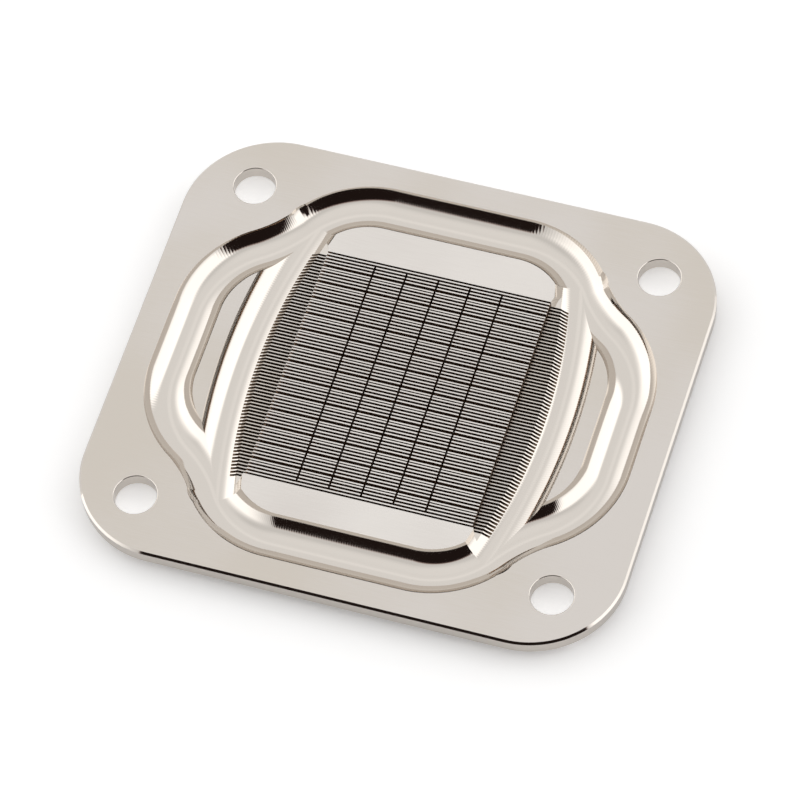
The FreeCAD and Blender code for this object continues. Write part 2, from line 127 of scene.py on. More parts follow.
class Surfaces:
    """Collects patches of points, normals and cutting coordinates, and makes one mesh of them."""

    def __init__(self):
        self.points, self.normals, self.cuts = [], [], []
        self.faces, self.finishes = [], []
        self.count = 0

    def _add(self, points, normals, cuts):
        first = self.count
        self.points.append(points.reshape(-1, 3))
        self.normals.append(np.broadcast_to(normals, points.shape).reshape(-1, 3))
        self.cuts.append(np.broadcast_to(cuts, points.shape[:-1] + (2,)).reshape(-1, 2))
        self.count += self.points[-1].shape[0]
        return first

    def grid(self, points, normals, finish, cuts=None):
        """A patch given as rows of points; without cutting coordinates it gets x and y."""
        rows, columns = points.shape[:2]
        first = self._add(points, normals, points[..., :2] if cuts is None else cuts)
        index = first + np.arange(rows * columns).reshape(rows, columns)
        quads = np.stack([index[:-1, :-1], index[1:, :-1], index[1:, 1:], index[:-1, 1:]], -1)
        self._keep(quads.reshape(-1, 4), finish)

    def flat(self, loops, height, up, finish):
        """A flat face at one height, bounded by its first loop and cut out by the others."""
        outline = np.concatenate(loops)
        points = np.column_stack([outline, np.full(len(outline), height)])
        first = self._add(points, np.array([0.0, 0.0, up]), points[:, :2])
        corners = tessellate_polygon([[Vector((*p, 0)) for p in loop] for loop in loops])
        triangles = np.array(corners) + first
        self._keep(np.column_stack([triangles, triangles[:, 2]]), finish)

    def patches(self, points, normal, finish):
        """Many separate quads, each given as its four corners in two rows of two."""
        first = self._add(points, normal, points[..., :2])
        index = first + np.arange(points.shape[0] * 4).reshape(-1, 4)
        self._keep(index[:, [0, 1, 3, 2]], finish)

    def _keep(self, quads, finish):
        """Turns each face the way its normals point, and drops the ones with no area."""
        points, normals = np.concatenate(self.points), np.concatenate(self.normals)
        corner = points[quads]
        cross = np.cross(corner[:, 2] - corner[:, 0], corner[:, 3] - corner[:, 1])
        triangle = quads[:, 2] == quads[:, 3]
        sides = corner[triangle, 1:3] - corner[triangle, :1]
        cross[triangle] = np.cross(sides[:, 0], sides[:, 1])
        facing = np.einsum("ij,ij->i", cross, normals[quads].sum(1))
        turned = np.where(facing[:, None] < 0, quads[:, ::-1], quads)
        turned = turned[np.linalg.norm(cross, axis=1) > 1e-7]
        self.faces.append(turned)
        self.finishes.append(np.full(len(turned), finish))

    def make(self, name):
        """One mesh with smooth custom normals and the cutting coordinates as a UV map."""
        quads = np.concatenate(self.faces)
        faces = [tuple(dict.fromkeys(face)) for face in quads.tolist()]
        mesh = bpy.data.meshes.new(name)
        mesh.from_pydata(np.concatenate(self.points) * MM, [], faces)
        mesh.polygons.foreach_set("material_index", np.concatenate(self.finishes))
        mesh.polygons.foreach_set("use_smooth", np.ones(len(faces), bool))
        corner_vertex = np.empty(len(mesh.loops), np.int32)
        mesh.loops.foreach_get("vertex_index", corner_vertex)
        cuts = np.concatenate(self.cuts)[corner_vertex].astype(np.float32)
        mesh.uv_layers.new(name="cut").data.foreach_set("uv", cuts.ravel())
        normals = np.concatenate(self.normals)
        normals = normals / np.linalg.norm(normals, axis=1, keepdims=True)
        mesh.normals_split_custom_set_from_vertices(normals)
        piece = bpy.data.objects.new(name, mesh)
        bpy.context.scene.collection.objects.link(piece)
        return piece


def even(start, end, step):
    """Values from start to end, both included, at most a step apart."""
    return np.linspace(start, end, max(2, math.ceil(abs(end - start) / step) + 1))


def turn(angle):
    """A unit vector at an angle from X."""
    return np.stack([np.cos(angle), np.sin(angle)], -1)


def mirrored(points, x, y):
    """Points or normals moved to another quarter of the plate."""
    return points * np.array([x, y, 1.0])[:points.shape[-1]]


QUARTERS = [(1, 1), (-1, 1), (-1, -1), (1, -1)]


# the outer loop's line

END_CENTRE = np.array([END_RUN_HALF, END_RUN_Y - END_BEND])
SIDE_CENTRE = np.array([SIDE_RUN_X - SIDE_BEND, SIDE_RUN_HALF])


def reverse_centre():
    """The third corner of a triangle on the two bend centres; tangent arcs add up their radii."""
    span = SIDE_CENTRE - END_CENTRE
    apart = np.linalg.norm(span)
    to_end, to_side = REVERSE_BEND + END_BEND, REVERSE_BEND + SIDE_BEND
    along = (to_end ** 2 - to_side ** 2 + apart ** 2) / (2 * apart)
    out = math.sqrt(to_end ** 2 - along ** 2)
    unit = span / apart
    return END_CENTRE + along * unit + out * np.array([-unit[1], unit[0]])


REVERSE_CENTRE = reverse_centre()
LEAVE = math.atan2(*(REVERSE_CENTRE - END_CENTRE)[::-1])
ARRIVE = math.atan2(*(REVERSE_CENTRE - SIDE_CENTRE)[::-1])
STAGES = np.cumsum([
    END_RUN_HALF, END_BEND * (math.pi / 2 - LEAVE), REVERSE_BEND * (ARRIVE - LEAVE),
    SIDE_BEND * ARRIVE, SIDE_RUN_HALF,
])
QUARTER_LENGTH = STAGES[-1]


def outer_line(travel):
    """Points and outward normals of a quarter of the outer loop, by the distance travelled.

    Run, bend, reverse bend, bend and run follow each other. On an arc the angle is the distance
    past its start over its radius, and the normal points away from a bend's centre, but towards
    the reverse bend's.
    """
    end_angle = math.pi / 2 - (travel - STAGES[0]) / END_BEND
    reverse_angle = LEAVE + math.pi + (travel - STAGES[1]) / REVERSE_BEND
    side_angle = ARRIVE - (travel - STAGES[2]) / SIDE_BEND
    zero = np.zeros_like(travel)
    points = [
        np.stack([travel, zero + END_RUN_Y], -1),
        END_CENTRE + END_BEND * turn(end_angle),
        REVERSE_CENTRE + REVERSE_BEND * turn(reverse_angle),
        SIDE_CENTRE + SIDE_BEND * turn(side_angle),
        np.stack([zero + SIDE_RUN_X, QUARTER_LENGTH - travel], -1),
    ]
    normals = [
        np.stack([zero, zero + 1], -1), turn(end_angle), -turn(reverse_angle),
        turn(side_angle), np.stack([zero + 1, zero], -1),
    ]
    stage = np.searchsorted(STAGES[:-1], travel)[None, :, None]
    return (np.take_along_axis(np.stack(points), stage, 0)[0],
            np.take_along_axis(np.stack(normals), stage, 0)[0])


def outer_distance(points):
    """Distance from points of the first quarter to the outer loop's line."""
    def from_arc(centre, radius, first, last):
        away = points - centre
        angle = np.arctan2(away[..., 1], away[..., 0]) % (2 * math.pi)
        gap = np.abs(np.linalg.norm(away, axis=-1) - radius)
        return np.where((angle >= first) & (angle <= last), gap, np.inf)

    x, y = points[..., 0], points[..., 1]
    return np.minimum.reduce([
        np.where(x <= END_RUN_HALF, np.abs(y - END_RUN_Y), np.inf),
        from_arc(END_CENTRE, END_BEND, LEAVE, math.pi / 2),
        from_arc(REVERSE_CENTRE, REVERSE_BEND, LEAVE + math.pi, ARRIVE + math.pi),
        from_arc(SIDE_CENTRE, SIDE_BEND, 0, ARRIVE),
        np.where(y <= SIDE_RUN_HALF, np.abs(x - SIDE_RUN_X), np.inf),
    ])


def arc_distance(points):
    """Distance from points to the inner arc's line."""
    return np.abs(np.linalg.norm(points - ARC_CENTRE, axis=-1) - ARC_RADIUS)


def reach(nearer, limit):
    """How far each row goes, up to a limit, before the other line is as near: bisection."""
    low, high = np.zeros_like(limit), limit.copy()
    high = np.where(nearer(limit), limit, high)
    low = np.where(nearer(limit), limit, low)
    for _ in range(40):
        middle = (low + high) / 2
        inside = nearer(middle)
        low, high = np.where(inside, middle, low), np.where(inside, high, middle)
    return low


def depth_below(distance):
    """Depth of the cutter's surface at a distance from its line: a circle's, less its lift."""
    return np.sqrt(np.maximum(BALL ** 2 - distance ** 2, 0)) - BALL_LIFT


def cut_points(plan, centres):
    """Points on the cutter's surface and their normals, which point at the cutter's middle."""
    distance = np.linalg.norm(plan - centres, axis=-1)
    height = TOP - depth_below(distance)
    points = np.concatenate([plan, height[..., None]], -1)
    middle = np.concatenate([centres, np.full(height.shape + (1,), TOP + BALL_LIFT)], -1)
    return points, (middle - points) / BALL


def outer_channel(plate):
    """Rows across the outer loop, from its inner limit to its outer edge, in four quarters.

    The inner limit is the edge at the top face, or the crease where the inner arc is as near.
    Where the dimple is nearer than the line, the surface fades into the dimple's towards the edge.
    """
    fine = even(0, QUARTER_LENGTH, 0.2)
    foot = STAGES[1]
    travel = np.unique(np.concatenate([fine, even(foot - 1.6, foot + 1.6, 0.05), STAGES[:-1]]))
    kinks = crease_ends(travel, inner_limit(travel))
    travel = np.unique(np.concatenate([travel, kinks]))
    line, normal = outer_line(travel)
    inner = inner_limit(travel)
    to_dimple = DIMPLE - line
    along_normal = np.einsum("ij,ij->i", to_dimple, normal)
    aside = np.maximum((to_dimple ** 2).sum(1) - along_normal ** 2, 0)
    bulge = along_normal + np.sqrt(np.maximum(HALF_WIDTH ** 2 - aside, 0))
    outer = np.maximum(HALF_WIDTH, np.where(aside < HALF_WIDTH ** 2, bulge, 0))
    outer = np.where(np.abs(travel - foot) < 2, outer, HALF_WIDTH)

    offset = outer_rows(inner, outer)
    plan = line[:, None] + offset[..., None] * normal[:, None]
    points, normals = cut_points(plan, np.broadcast_to(line[:, None], plan.shape))
    dimple_points, dimple_normals = cut_points(plan, np.broadcast_to(DIMPLE, plan.shape))
    dimpled = (np.linalg.norm(plan - DIMPLE, axis=-1) < np.abs(offset)) & (offset > 0)
    fade = (np.interp(offset, DIMPLE_FADE, (0, 1)) * dimpled)[..., None]
    points = points + fade * (dimple_points - points)
    normals = normals + fade * (dimple_normals - normals)
    cuts = np.stack([np.broadcast_to(travel[:, None], offset.shape), offset], -1)
    for x, y in QUARTERS:
        plate.grid(mirrored(points, x, y), mirrored(normals, x, y), MILLED, cuts)
    whole = inner > HALF_WIDTH - 1e-9
    before = travel <= kinks[0] + 1e-6
    after = travel >= kinks[1] - 1e-6
    return plan[:, -1], plan[before & whole, 0], plan[after & whole, 0]


def inner_limit(travel):
    """How far in the outer channel goes: to its edge, or to where the inner arc is as near."""
    line, normal = outer_line(travel)
    edge = np.full(len(travel), HALF_WIDTH)
    return reach(lambda s: arc_distance(line - s[:, None] * normal) >= s, edge)


def crease_ends(travel, inner):
    """Where the crease starts and ends: straight lines on through its outermost samples."""
    short = np.flatnonzero(inner < HALF_WIDTH - 1e-9)
    ends = []
    for edge, low in ((short[0], short[0]), (short[-1], short[-1] - 1)):
        slope = (inner[low + 1] - inner[low]) / (travel[low + 1] - travel[low])
        ends.append(travel[edge] + (HALF_WIDTH - inner[edge]) / slope)
    return ends


def outer_rows(inner, outer):
    """Offsets across the channel at even angles round the cutter, from -inner to outer."""
    share = np.linspace(0, 1, CHANNEL_POINTS)
    first = -np.arcsin(np.minimum(inner / BALL, 1))[:, None]
    last = np.arcsin(np.minimum(outer / BALL, 1))[:, None]
    return BALL * np.sin(first + (last - first) * share)


def arc_x(offset, y):
    """X of the inner arc's parallel curve at a height y of the plan."""
    return ARC_CENTRE[0] + np.sqrt((ARC_RADIUS + offset) ** 2 - y ** 2)


def circles_meet(a, radius_a, b, radius_b, side):
    """One of the two points where two circles meet."""
    span = b - a
    apart = np.linalg.norm(span)
    along = (radius_a ** 2 - radius_b ** 2 + apart ** 2) / (2 * apart)
    out = side * math.sqrt(radius_a ** 2 - along ** 2)
    unit = span / apart
    return a + along * unit + out * np.array([-unit[1], unit[0]])


MEETING = circles_meet(ARC_CENTRE, ARC_RADIUS, END_CENTRE, END_BEND, 1)
STEP_CENTRE = np.array([STEP_WALL + STEP_CUTTER, STEP_TRAVEL])
STEP_TIP = circles_meet(ARC_CENTRE, ARC_RADIUS - STEP_OFFSET, STEP_CENTRE, STEP_CUTTER, 1)
STEP_LIP = circles_meet(ARC_CENTRE, ARC_RADIUS - HALF_WIDTH, STEP_CENTRE, STEP_CUTTER, 1)
FAR_END = FIRST_SLOT + SLOT_WIDTH / 2
NEAR_END = FIRST_SLOT - (SLOTS - 1) * FIN_PITCH - SLOT_WIDTH / 2


def step_wall_x(y):
    """X of the round end of the step's wall."""
    return STEP_CENTRE[0] - np.sqrt(STEP_CUTTER ** 2 - np.maximum(y - STEP_TRAVEL, 0) ** 2)


def arc_patch(plate, rows, inner, outer, across, side_x, side_y):
    """The inner arc's surface on rows of constant y, between two offsets from its line."""
    share = np.linspace(0, 1, across)
    first, last = (np.arcsin(np.clip(limit / BALL, -1, 1))[:, None] for limit in (inner, outer))
    offset = BALL * np.sin(first + (last - first) * share)
    y = np.broadcast_to(rows[:, None], offset.shape)
    plan = np.stack([arc_x(offset, y), y], -1)
    away = plan - ARC_CENTRE
    away = away / np.linalg.norm(away, axis=-1, keepdims=True)
    points, normals = cut_points(plan, ARC_CENTRE + ARC_RADIUS * away)
    cuts = np.stack([ARC_RADIUS * np.arctan2(away[..., 1], away[..., 0]), offset], -1)
    plate.grid(mirrored(points, side_x, side_y), mirrored(normals, side_x, side_y), MILLED, cuts)


def arc_limit(rows, way):
    """How far the inner arc's surface goes each way before the outer loop is as near."""
    def nearer(s):
        plan = np.stack([arc_x(way * s, rows), rows], -1)
        return outer_distance(plan) >= s
    return way * reach(nearer, np.full(len(rows), HALF_WIDTH))


def slot_lines():
    """The low and high edges of each slot, from the far side to the near side."""
    middle = FIRST_SLOT - np.arange(SLOTS) * FIN_PITCH
    return middle - SLOT_WIDTH / 2, middle + SLOT_WIDTH / 2


def inner_arcs(plate):
    """The surface of both inner arcs: beside the slots, beside the step's ends and beyond them."""
    low, high = slot_lines()
    beside = np.sort(np.concatenate([low, high]))
    for side in (1, -1):
        slot_side = np.full(len(beside), -SLOT_OFFSET)
        arc_patch(plate, beside, slot_side, arc_limit(np.abs(beside), 1), ARC_POINTS, side, 1)
        for end, way in ((FAR_END, 1), (-NEAR_END, -1)):
            rows = even(end, STEP_TIP[1], 0.15)
            floor_side = np.full(len(rows), -STEP_OFFSET)
            arc_patch(plate, rows, floor_side, arc_limit(rows, 1), ARC_POINTS, side, way)
            rows = even(STEP_TIP[1], MEETING[1], 0.1)
            arc_patch(plate, rows, arc_limit(rows, -1), arc_limit(rows, 1), ARC_POINTS, side, way)
            rows = even(STEP_LIP[1], STEP_TIP[1], 0.05)
            wall = np.stack([step_wall_x(rows), rows], -1)
            wall_offset = np.linalg.norm(wall - ARC_CENTRE, axis=1) - ARC_RADIUS
            wall_offset = np.clip(wall_offset, -HALF_WIDTH, -STEP_OFFSET)
            arc_patch(plate, rows, np.full(len(rows), -HALF_WIDTH), wall_offset, 6, side, way)


def steps(plate):
    """The step's floor and upright wall beyond the slots, at both ends of both steps."""
    for side in (1, -1):
        for end, way in ((FAR_END, 1), (-NEAR_END, -1)):
            rows = even(end, STEP_TIP[1], 0.05)
            wall_x = step_wall_x(rows)
            edge_x = np.maximum(arc_x(-STEP_OFFSET, rows), wall_x)
            plan = np.stack([np.stack([wall_x, rows], -1), np.stack([edge_x, rows], -1)], 1)
            floor = np.concatenate([plan, np.full(plan.shape[:2] + (1,), TOP - STEP_DEPTH)], -1)
            plate.grid(mirrored(floor, side, way), np.array([0.0, 0.0, 1.0]), MILLED)
            wall = plan[:, 0]
            offset = np.abs(np.linalg.norm(wall - ARC_CENTRE, axis=1) - ARC_RADIUS)
            sunk = np.clip(depth_below(offset), 0, STEP_DEPTH)
            top = np.column_stack([wall, TOP - sunk])
            foot = np.column_stack([wall, np.full(len(wall), TOP - STEP_DEPTH)])
            inward = (STEP_CENTRE - wall) / STEP_CUTTER
            normals = np.column_stack([inward, np.zeros(len(wall))])[:, None]
            upright = np.stack([top, foot], 1)
            normals = np.broadcast_to(normals, upright.shape)
            plate.grid(mirrored(upright, side, way), mirrored(normals, side, way), MILLED)


def box_faces(plate, x0, x1, y0, y1, high, low):
    """The top and four sides of each of many blocks; a worn top is smaller than its foot."""
    high, low = np.broadcast_to(high, x0.shape), np.broadcast_to(low, x0.shape)
    front, back = y0 + FIN_EDGE, y1 - FIN_EDGE
    top = [(x0, front, high), (x1, front, high), (x1, back, high), (x0, back, high)]
    foot = [(x0, y0, low), (x1, y0, low), (x1, y1, low), (x0, y1, low)]
    sides = [((0, 0, 1), [top[0], top[1], top[3], top[2]])]
    for i, normal in enumerate([(0, -1, 0), (1, 0, 0), (0, 1, 0), (-1, 0, 0)]):
        j = (i + 1) % 4
        sides.append((normal, [top[i], top[j], foot[i], foot[j]]))
    for normal, corners in sides:
        points = np.stack([np.stack(corner, -1) for corner in corners], 1)
        plate.patches(points, np.array(normal, float), LAPPED if normal[2] else SAWN)


def fins(plate):
    """Fins between the slots: blocks on the flat field and lower strips on the steps.

    The fin between two passes of the saw stands nearer by the lean. Cross cuts part all fins
    but the first and the last.
    """
    low, high = slot_lines()
    fin_high, fin_low = low[:-1].copy(), high[1:].copy()
    between = np.arange(1, SLOTS) % GANG == 0
    leaned = np.where(between, FIN_LEAN, 0)
    cuts = CROSS_MIDDLE + (np.arange(CROSS_CUTS) - (CROSS_CUTS - 1) / 2) * CROSS_PITCH
    left = np.concatenate([[-STEP_WALL], cuts + CROSS_WIDTH / 2])
    right = np.concatenate([cuts - CROSS_WIDTH / 2, [STEP_WALL]])
    parted = np.arange(1, SLOTS - 2)[:, None]
    x0, x1, y0, y1 = (block.ravel() for block in np.broadcast_arrays(
        left, right, (fin_low - leaned)[parted], (fin_high - leaned)[parted]))
    whole = [0, SLOTS - 2]
    x0, x1 = np.append(x0, [-STEP_WALL] * 2), np.append(x1, [STEP_WALL] * 2)
    y0, y1 = np.append(y0, fin_low[whole]), np.append(y1, fin_high[whole])
    box_faces(plate, x0, x1, y0, y1, TOP, TOP - SLOT_DEPTH)

    angles = np.linspace(math.asin(STEP_OFFSET / BALL), math.asin(SLOT_OFFSET / BALL), 9)
    offsets = -BALL * np.sin(angles)
    for side in (1, -1):
        for y0, y1 in zip(fin_low, fin_high):
            shelf_fin(plate, y0, y1, offsets, side)
        for y, way in ((FAR_END, -1), (NEAR_END, 1)):
            shelf_side(plate, y, way, offsets, side)
    for y, way in ((FAR_END, -1), (NEAR_END, 1)):
        wall = [[(x, y, z) for x in (-STEP_WALL, STEP_WALL)] for z in (TOP, TOP - SLOT_DEPTH)]
        plate.grid(np.array(wall), np.array([0.0, way, 0.0]), SAWN)

    rows = np.sort(np.concatenate([low, high]))
    edge = arc_x(-SLOT_OFFSET, rows)
    floor = np.stack([np.column_stack([s * edge, rows]) for s in (-1, 1)], 1)
    floor = np.concatenate([floor, np.full(floor.shape[:2] + (1,), TOP - SLOT_DEPTH)], -1)
    plate.grid(floor, np.array([0.0, 0.0, 1.0]), SAWN)


def shelf_profile(y, offsets):
    """The end of a fin on the step, where the inner arc's surface cuts it, at one y.

    The offsets lie at even angles round the cutter, from the step's floor to the slots'.
    """
    x = arc_x(offsets, y)
    return np.column_stack([x, np.full(len(x), y), TOP - depth_below(np.abs(offsets))])


def shelf_side(plate, y, way, offsets, side):
    """One upright side of a fin on the step, from its worn top down to the slots' floor."""
    top = np.vstack([[STEP_WALL, y, TOP - STEP_DEPTH], shelf_profile(y, offsets)])
    foot = top.copy()
    foot[:, 2] = TOP - SLOT_DEPTH
    top[:, 1] -= way * STEP_FIN_EDGE
    face = mirrored(np.stack([top, foot], 1), side, 1)
    plate.grid(face, np.array([0.0, way, 0.0]), SAWN)


def shelf_fin(plate, y0, y1, offsets, side):
    """A fin on the step: its flat top, both sides and the end that the inner arc cuts."""
    worn = (y0 + STEP_FIN_EDGE, y1 - STEP_FIN_EDGE)
    ends = [shelf_profile(y, offsets) for y in worn]
    starts = [np.array([[STEP_WALL, y, TOP - STEP_DEPTH], end[0]]) for y, end in zip(worn, ends)]
    plate.grid(mirrored(np.stack(starts, 1), side, 1), np.array([0.0, 0.0, 1.0]), GROUND)
    points = np.stack(ends, 1)
    away = points[..., :2] - ARC_CENTRE
    away = away / np.linalg.norm(away, axis=-1, keepdims=True)
    centre = ARC_CENTRE + ARC_RADIUS * away
    middle = np.concatenate([centre, np.full(centre.shape[:2] + (1,), TOP + BALL_LIFT)], -1)
    normals = (middle - points) / BALL
    plate.grid(mirrored(points, side, 1), mirrored(normals, side, 1), MILLED)
    for y, way in ((y0, -1), (y1, 1)):
        shelf_side(plate, y, way, offsets, side)


def rounded_outline(half, corner, inset, step):
    """An oblong with round corners, inset from its edge: quarter circles, and their normals."""
    radius = corner - inset
    points, normals = [], []
    for i, (x, y) in enumerate(QUARTERS):
        centre = (half - corner) * np.array([x, y])
        away = turn(even(0, math.pi / 2, step / corner) + i * math.pi / 2)
        points.append(centre + radius * away)
        normals.append(away)
    return np.concatenate(points), np.concatenate(normals)


def pad_outline(inset):
    """The contact pad's oblong with cut corners, rounded where two sides meet at 45 degrees.

    Each rounding's centre is set back from the corner along the line that halves it.
    """
    points, normals = [], []
    half = HALF_PAD - inset
    cut = PAD_CUT - inset * (2 - math.sqrt(2))
    radius = PAD_CORNER - inset
    setback = radius / math.cos(math.pi / 8)
    corners = [(np.array([half[0], half[1] - cut]), math.pi / 8),
               (np.array([half[0] - cut, half[1]]), 3 * math.pi / 8)]
    for i, (x, y) in enumerate(QUARTERS):
        ordered = corners if x * y > 0 else corners[::-1]
        for (vertex, halving), first in zip(ordered, (0, math.pi / 4)):
            centre = (vertex - setback * turn(np.array(halving))) * np.array([x, y])
            angle = even(first, first + math.pi / 4, 0.1) + i * math.pi / 2
            points.append(centre + radius * turn(angle))
            normals.append(turn(angle))
    return np.concatenate(points), np.concatenate(normals)


def band(plate, upper, lower, high, low, outward, rise, finish):
    """A closed band between two loops at two heights; rise is its normal's upward share."""
    ring = [np.column_stack([loop, np.full(len(loop), z)])
            for loop, z in ((upper, high), (lower, low))]
    points = np.stack(ring, 1)
    points = np.concatenate([points, points[:1]])
    normals = np.column_stack([outward * math.sqrt(1 - rise ** 2), np.full(len(outward), rise)])
    normals = np.concatenate([normals, normals[:1]])
    plate.grid(points, np.broadcast_to(normals[:, None], points.shape), finish)


HOLE_SIDES = 64
HOLE_ANGLES = np.arange(HOLE_SIDES) * math.tau / HOLE_SIDES


def circle(centre, radius):
    """A screw hole's outline, without its first point again at the end."""
    return centre + radius * turn(HOLE_ANGLES)


def rounded_mouth(plate, centre):
    """The worn edge of a screw hole, a quarter circle in section from the flat to the bore."""
    lean = even(0, math.pi / 2, 0.3)[:, None, None]
    away = turn(np.append(HOLE_ANGLES, 0))
    plan = centre + away * (HOLE_RADIUS + HOLE_CHAMFER * (1 - np.sin(lean)))
    fall = np.broadcast_to(HOLE_CHAMFER * (1 - np.cos(lean)), plan.shape[:2] + (1,))
    rise = np.broadcast_to(np.cos(lean), fall.shape)
    points = np.concatenate([plan, TOP - fall], -1)
    plate.grid(points, np.concatenate([-away * np.sin(lean), rise], -1), TURNED)


def rim(plate, loop_edge):
    """The plate's outside, its screw holes and the flat face round the outer channel."""
    step = 0.6
    bevel = math.sqrt(0.5)
    edge, outward = rounded_outline(HALF_PLATE, PLATE_CORNER, 0, step)
    inset, _ = rounded_outline(HALF_PLATE, PLATE_CORNER, EDGE_CHAMFER, step)
    band(plate, inset, edge, TOP, TOP - EDGE_CHAMFER, outward, bevel, TURNED)
    band(plate, edge, edge, TOP - EDGE_CHAMFER, PAD_HEIGHT, outward, 0, TURNED)
    mouths, bores = [], []
    inward = -turn(HOLE_ANGLES)
    for x, y in QUARTERS:
        centre = HOLE_CENTRE * np.array([x, y])
        mouth, bore = circle(centre, HOLE_RADIUS + HOLE_CHAMFER), circle(centre, HOLE_RADIUS)
        rounded_mouth(plate, centre)
        band(plate, bore, bore, TOP - HOLE_CHAMFER, PAD_HEIGHT, inward, 0, TURNED)
        mouths.append(mouth)
        bores.append(bore)
    plate.flat([inset, loop_edge, *mouths], TOP, 1, GROUND)
    pad_edge, pad_out = pad_outline(0)
    pad_inset, _ = pad_outline(PAD_CHAMFER)
    plate.flat([edge, pad_edge, *bores], PAD_HEIGHT, -1, GROUND)
    band(plate, pad_edge, pad_edge, PAD_HEIGHT, PAD_CHAMFER, pad_out, 0, TURNED)
    band(plate, pad_edge, pad_inset, PAD_CHAMFER, 0, pad_out, -bevel, TURNED)
    plate.flat([pad_inset], 0, -1, GROUND)


def whole_loop(quarter):
    """A closed loop from its first quarter, mirrored down and then to the left.

    The quarter runs from the far middle to the right middle.
    """
    right = np.concatenate([quarter, mirrored(quarter[-2::-1], 1, -1)])
    return np.concatenate([right, mirrored(right[-2:0:-1], -1, 1)])


def islands(plate, side_edge):
    """The two flats between the outer loop's inner edge and the inner arcs' outer edge."""
    tip = side_edge[0]
    right = np.concatenate([side_edge, mirrored(side_edge[-2::-1], 1, -1)])
    rows = even(-tip[1], tip[1], 0.3)[1:-1]
    back = np.column_stack([arc_x(HALF_WIDTH, rows), rows])
    outline = np.concatenate([right, back])
    for side in (1, -1):
        plate.flat([mirrored(outline, side, 1)], TOP, 1, GROUND)


def field_margins(plate, end_edge):
    """The flats beyond the first and the last slot, out to the outer loop."""
    kink = end_edge[-1]
    rows = even(kink[1], STEP_LIP[1], 0.15)[1:]
    arc_edge = np.column_stack([arc_x(-HALF_WIDTH, rows), rows])
    for end, way in ((FAR_END, 1), (-NEAR_END, -1)):
        rows = even(STEP_LIP[1], end, 0.05)[1:]
        wall = np.column_stack([step_wall_x(rows), rows])
        right = np.concatenate([end_edge, arc_edge, wall])
        outline = np.concatenate([right, mirrored(right[:0:-1], -1, 1)])
        plate.flat([mirrored(outline, 1, way)], TOP, 1, LAPPED)


def cold_plate():
    """The whole plate's surface as one piece."""
    plate = Surfaces()
    loop_edge, end_edge, side_edge = outer_channel(plate)
    inner_arcs(plate)
    steps(plate)
    fins(plate)
    rim(plate, whole_loop(loop_edge))
    islands(plate, side_edge)
    field_margins(plate, end_edge)
    return plate.make("cold_plate_surface")


# finishes


class Value:
    """A shader socket; an expression on it adds its Math nodes."""

    def __init__(self, nodes, socket):
        self.nodes, self.socket = nodes, socket

    def math(self, operation, *others):
        inputs = dict(enumerate((self, *others)))
        return self.nodes.add("ShaderNodeMath", {"operation": operation}, inputs)

    def __add__(self, other): return self.math("ADD", other)
    def __radd__(self, other): return self.math("ADD", other)
    def __mul__(self, other): return self.math("MULTIPLY", other)
    def __rmul__(self, other): return self.math("MULTIPLY", other)
    def __sub__(self, other): return self.math("SUBTRACT", other)
    def __rsub__(self, other): return (self * -1) + other
    def __truediv__(self, other): return self.math("DIVIDE", other)
    def __rtruediv__(self, other): return self.math("POWER", -1) * other


class Nodes:
    """A node tree that is written as expressions."""

    def __init__(self, tree):
        self.tree = tree
        tree.nodes.clear()

    def add(self, kind, settings=None, inputs=None, output=0):
        """Any node: its settings first, then a value or a link for each named socket."""
        node = self.tree.nodes.new(kind)
        for name, value in (settings or {}).items():
            setattr(node, name, value)
        for name, value in (inputs or {}).items():
            if isinstance(value, Value):
                self.tree.links.new(value.socket, node.inputs[name])
            else:
                node.inputs[name].default_value = value
        return Value(self, node.outputs[output])

    def end(self, shader, kind="ShaderNodeOutputMaterial"):
        """The tree's output."""
        output = self.tree.nodes.new(kind)
        self.tree.links.new(shader.socket, output.inputs["Surface"])

    def smooth(self, value, low, high):
        """0 below low and 1 above high, with a smooth change between them."""
        settings = {"interpolation_type": "SMOOTHSTEP", "clamp": True}
        inputs = {"Value": value, "From Min": low, "From Max": high}
        return self.add("ShaderNodeMapRange", settings, inputs)

    def mix(self, share, first, second):
        """The first colour where share is 0, the second where it is 1."""
        inputs = {0: share, 6: first, 7: second}
        return self.add("ShaderNodeMix", {"data_type": "RGBA"}, inputs, output=2)

    def part(self, vector, axis):
        """One of a vector's three numbers."""
        return self.add("ShaderNodeSeparateXYZ", {}, {"Vector": vector}, output=axis)

    def noise(self, vector, scale, detail=2.0):
        """Soft cloudy values about 0.5, which repeat about scale times per unit."""
        inputs = {"Vector": vector, "Scale": scale, "Detail": detail}
        return self.add("ShaderNodeTexNoise", {}, inputs)

    def stretched(self, vector, turn_z, scale):
        """Coordinates turned about Z and scaled along each axis."""
        inputs = {"Vector": vector, "Rotation": (0, 0, turn_z), "Scale": scale}
        return self.add("ShaderNodeMapping", {}, inputs)


def finish_material(name):
    """A new material and its empty node tree."""
    material = bpy.data.materials.new(name)
    material.use_nodes = True
    return material, Nodes(material.node_tree)


def plated(nodes, color, roughness, height, relief, normal=None, metallic=1.0):
    """Bare nickel plate: a metal whose roughness varies, with fine marks as a bump.

    Below 1, metallic leaves a share that scatters every way, as a finely scratched face does.
    """
    bump = {"Height": height, "Distance": relief, "Strength": 1.0}
    if normal is not None:
        bump["Normal"] = normal
    inputs = {"Base Color": color, "Metallic": metallic, "Roughness": roughness}
    inputs["Normal"] = nodes.add("ShaderNodeBump", {}, bump)
    nodes.end(nodes.add("ShaderNodeBsdfPrincipled", {}, inputs))


